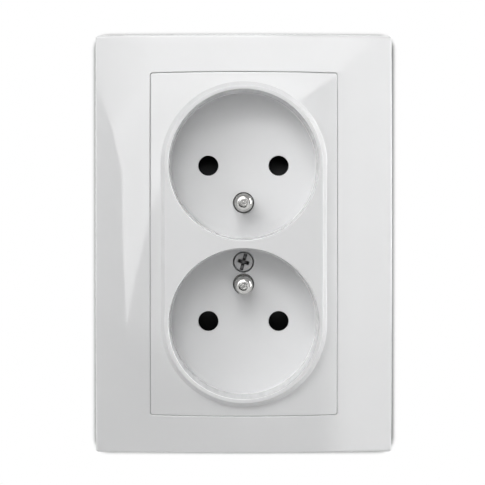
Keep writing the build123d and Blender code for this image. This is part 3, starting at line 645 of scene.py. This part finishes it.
SLOT_MATERIAL = {
    "frame_plastic": white_gloss("frame_gloss"),
    "cover_plastic": white_gloss("cover_gloss"),
    "base_plastic": matt_plastic("base_moulding", (0.40, 0.40, 0.39), (0.47, 0.47, 0.46), 0.55),
    "tray_plastic": matt_plastic("tray_moulding", (0.016, 0.016, 0.017), (0.026, 0.026, 0.027), 0.6),
    "shutter_plastic": matt_plastic("shutter_moulding", (0.006, 0.006, 0.007), (0.012, 0.012, 0.013), 0.6),
    "zinc_steel": rolled_metal("zinc_plate", (0.50, 0.51, 0.52), (0.62, 0.63, 0.63), 0.36),
    # painted shade: the screws' recesses darken to near black within 1.6 mm
    "screw_steel": screw_metal("screw_steel", 0.0016, 0.6, 0.96, (0.035, 0.035, 0.036)),
    "spring_steel": rolled_metal("spring_strip", (0.40, 0.40, 0.42), (0.50, 0.50, 0.52), 0.28),
    "nickel": nickel("turned_nickel"),
    "brass": rolled_metal("brass_strip", (0.62, 0.44, 0.16), (0.74, 0.56, 0.24), 0.30),
    "spring_bronze": rolled_metal("bronze_strip", (0.55, 0.32, 0.15), (0.66, 0.42, 0.22), 0.32),
}
SATIN, WELL_WALL = white_satin("well_satin"), white_wall("well_wall")
# painted shade: the slot and cross of the cover screw darken to near black within 1.6 mm
COVER_SCREW = screw_metal("cover_screw_steel", 0.0016, 0.4, 0.97, (0.012, 0.012, 0.012))


# Pieces

slot_of = {part["node"]: part["material_slot"] for part in frame["record"]["subparts"]}
for node, piece in frame["nodes"].items():
    piece.data.materials.clear()
    piece.data.materials.append(SLOT_MATERIAL[slot_of[node]])


def stand_for(piece, node):
    """Puts a piece in the place of a CAD node."""
    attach(piece, "socket")
    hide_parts(node)


NICKEL = SLOT_MATERIAL["nickel"]
replaced = {
    "outer_frame": build_frame(SLOT_MATERIAL["frame_plastic"]),
    "socket_cover": build_cover(SLOT_MATERIAL["cover_plastic"], SATIN, WELL_WALL),
    "cover_screw": build_screw("cover_screw_turned", COVER_SCREW),
    "upper_earth_pin": build_pin("upper_earth_pin_turned", EARTH_Z, NICKEL),
    "lower_earth_pin": build_pin("lower_earth_pin_turned", -EARTH_Z, NICKEL),
}
for node, piece in replaced.items():
    stand_for(piece, node)

# copies of the shutter springs, each with a mesh of its own, stand in for the CAD springs
for row, seat in (("upper", 0), ("lower", 1)):
    node, joint = f"{row}_shutter_springs", f"{row}_shutter_slide"
    piece = bpy.data.objects.new(f"{node}_folded", frame["nodes"][node].data.copy())
    scene.collection.objects.link(piece)
    stand_for(piece, node)
    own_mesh(piece)


# Stage, light and camera

def stage_mesh(name, corners, faces, material):
    mesh = bpy.data.meshes.new(name)
    mesh.from_pydata([Vector(c) for c in corners], [], faces)
    mesh.materials.append(material)
    thing = bpy.data.objects.new(name, mesh)
    scene.collection.objects.link(thing)
    return thing


def soft_light(name, corners, strength, axis=None, span=None, far=None):
    """A luminous panel, even, or with a strength that goes to another one along an axis."""
    n = Nodes(name)
    glow = n.add("ShaderNodeEmission", Strength=strength)
    if axis:
        place = n.add("ShaderNodeSeparateXYZ", Vector=n.at()).outputs[axis]
        n.put(glow.inputs["Strength"], n.span(place, strength, far, *span))
    n.put(n.output.inputs["Surface"], glow.outputs[0])
    panel = stage_mesh(name, corners, [tuple(range(len(corners)))], n.material)
    panel.visible_camera = False


def facing(plan, distance=0.6):
    """Corners of a panel that stands parallel to the wall, from points (x, z) in millimetres."""
    return [(x * MM, -distance, z * MM) for x, z in plan]


def area(left, right, low, high):
    """Corners (x, z) of a rectangle."""
    return [(left, low), (right, low), (right, high), (left, high)]


# the main softbox has a sloping lower edge and a corner that hangs down on the left
SOFTBOX = [(-205, -98), (-189, -56), (-157, 12), (-138, 48), (90, 143), (159, 171), (184, 187), (250, 214),
           (80, 226), (80, 420), (-170, 420), (-170, 165), (-243, 119), (-216, 71), (-213, -16)]
SHOULDER = [(-243, 119), (-170, 165), (-170, 255), (-243, 255)]
UPPER_LEFT = [(-388, 255), (-281, 158), (-243, 119), (-243, 255)]
LEFT = [(-1000, -400), (-470, -400), (-470, 255), (-750, 255), (-750, 600), (-1000, 600)]
RIGHT_SIDE = [(0.8, -0.05, -0.1), (0.8, -0.3, -0.1), (0.8, -0.3, 0.6), (0.8, -0.05, 0.6)]
FLAG = [(-470, -400), (130, -400), (130, -110), (-150, -110), (-205, -98), (-213, -16), (-216, 71), (-243, 119),
        (-281, 158), (-388, 255), (-470, 255)]
soft_light("softbox", facing(SOFTBOX), 1.98, "Z", (0.215, 0.26), 6.15)
soft_light("shoulder", facing(SHOULDER), 1.25, "X", (-0.243, -0.17), 1.65)
soft_light("upper_left", facing(UPPER_LEFT), 0.7, "X", (-0.36, -0.243), 1.25)
soft_light("high_left", facing(area(-750, -170, 255, 420)), 3.85)
soft_light("overhead", facing(area(-750, 50, 420, 900)), 2.18)
soft_light("left", facing(LEFT), 1.0, "Z", (-0.1, 0.3), 2.5)
soft_light("right", facing(area(130, 310, -260, 250), 0.61), 0.0, "X", (0.13, 0.19), 1.3)
soft_light("right_side", RIGHT_SIDE, 7.8)
# two panels behind the wall, for the views that show the mechanism
soft_light("behind", facing(area(-700, 500, 50, 900), -0.9), 1.5)
soft_light("behind_low", facing(area(-900, 900, -340, -50), -1.1), 0.8)
# a black flag keeps the room out of the reflections on the left and below
soft_light("flag", facing(FLAG, 0.605), 0.0)

# the wall is white where it is seen, with a painted contact shadow from ambient occlusion, darker on the right and
# below, where the frame nearly touches it; it is clear from behind
n = Nodes("wall_paint")
seen = n.seen()
shadow_lean = n.add("ShaderNodeCombineXYZ", X=-0.08, Y=-0.98, Z=0.08)
contact_shadow = n.add("ShaderNodeAmbientOcclusion", {"samples": 16}, Distance=0.0032, Normal=shadow_lean.outputs[0])
shade = n.tint(contact_shadow.outputs["AO"], (0.05, 0.05, 0.05), (1, 1, 1), 0.6, 0.79)
glow = n.add("ShaderNodeEmission", Color=shade, Strength=1.0)
paint = n.add("ShaderNodeBsdfDiffuse", Color=(0.8, 0.8, 0.8, 1))
front = n.mix(seen, paint, glow)
from_behind = n.add("ShaderNodeNewGeometry").outputs["Backfacing"]
n.put(n.output.inputs["Surface"], n.mix(from_behind, front, n.add("ShaderNodeBsdfTransparent")))

# it stands behind the frame and is open inside it, so that the mechanism shows from the back
WALL_HALF, UNDER_FRAME, AT_WALL = 1200.0, 0.15, 0.0
hole = facing(outline(*OUTER, inset=UNDER_FRAME), AT_WALL)
edge = facing(outline(WALL_HALF, WALL_HALF, *OUTER[2:]), AT_WALL)
count = len(hole)
ring = [(k, count + k, count + (k + 1) % count, (k + 1) % count) for k in range(count)]
stage_mesh("wall", hole + edge, ring, n.material)

FLOOR_HALF, FLOOR_Z = 2, -0.35
n = Nodes("floor_paint")
seen = n.seen()
paint = n.add("ShaderNodeBsdfDiffuse", Color=(0.6, 0.6, 0.6, 1))
glow = n.add("ShaderNodeEmission", Strength=0.86)
n.put(n.output.inputs["Surface"], n.mix(seen, paint, glow))
corners = [(x, y, FLOOR_Z) for x, y in area(-FLOOR_HALF, FLOOR_HALF, -FLOOR_HALF, FLOOR_HALF)]
stage_mesh("floor", corners, [(0, 1, 2, 3)], n.material)

# the white backdrop goes on behind the object, and in front of it reflections show a grey room
ROOM, FILL = 0.42, 0.04
world = bpy.data.worlds.new("studio")
scene.world = world
world.use_nodes = True
n = Nodes.of(world.node_tree, "ShaderNodeOutputWorld")
path = n.add("ShaderNodeLightPath").outputs
mirrored = n.most(path["Is Glossy Ray"], path["Is Transmission Ray"])
direction = n.add("ShaderNodeTexCoord").outputs["Generated"]
behind = n.add("ShaderNodeSeparateXYZ", Vector=direction).outputs["Y"]
room = n.span(behind, ROOM, 1.0, -0.05, 0.05)
fill, white, shown = [n.add("ShaderNodeBackground", Color=(1, 1, 1, 1), Strength=s) for s in (FILL, 1.0, room)]
n.put(n.output.inputs["Surface"], n.mix(path["Is Camera Ray"], n.mix(mirrored, fill, shown), white))

EYE, AIM = Vector((-0.004, -0.593, 0.0085)), Vector((-0.00027, -0.003, 0.00026))
SENSOR, LENS, NEAR, FAR = 36.0, 162.1, 0.01, 50.0
camera = bpy.data.objects.new("camera", bpy.data.cameras.new("camera"))
scene.collection.objects.link(camera)
camera.data.sensor_width, camera.data.lens = SENSOR, LENS
camera.data.clip_start, camera.data.clip_end = NEAR, FAR
camera.matrix_world = Matrix.Translation(EYE) @ (AIM - EYE).to_track_quat("-Z", "Y").to_matrix().to_4x4()
scene.camera = camera
scene.view_settings.view_transform = "Standard"
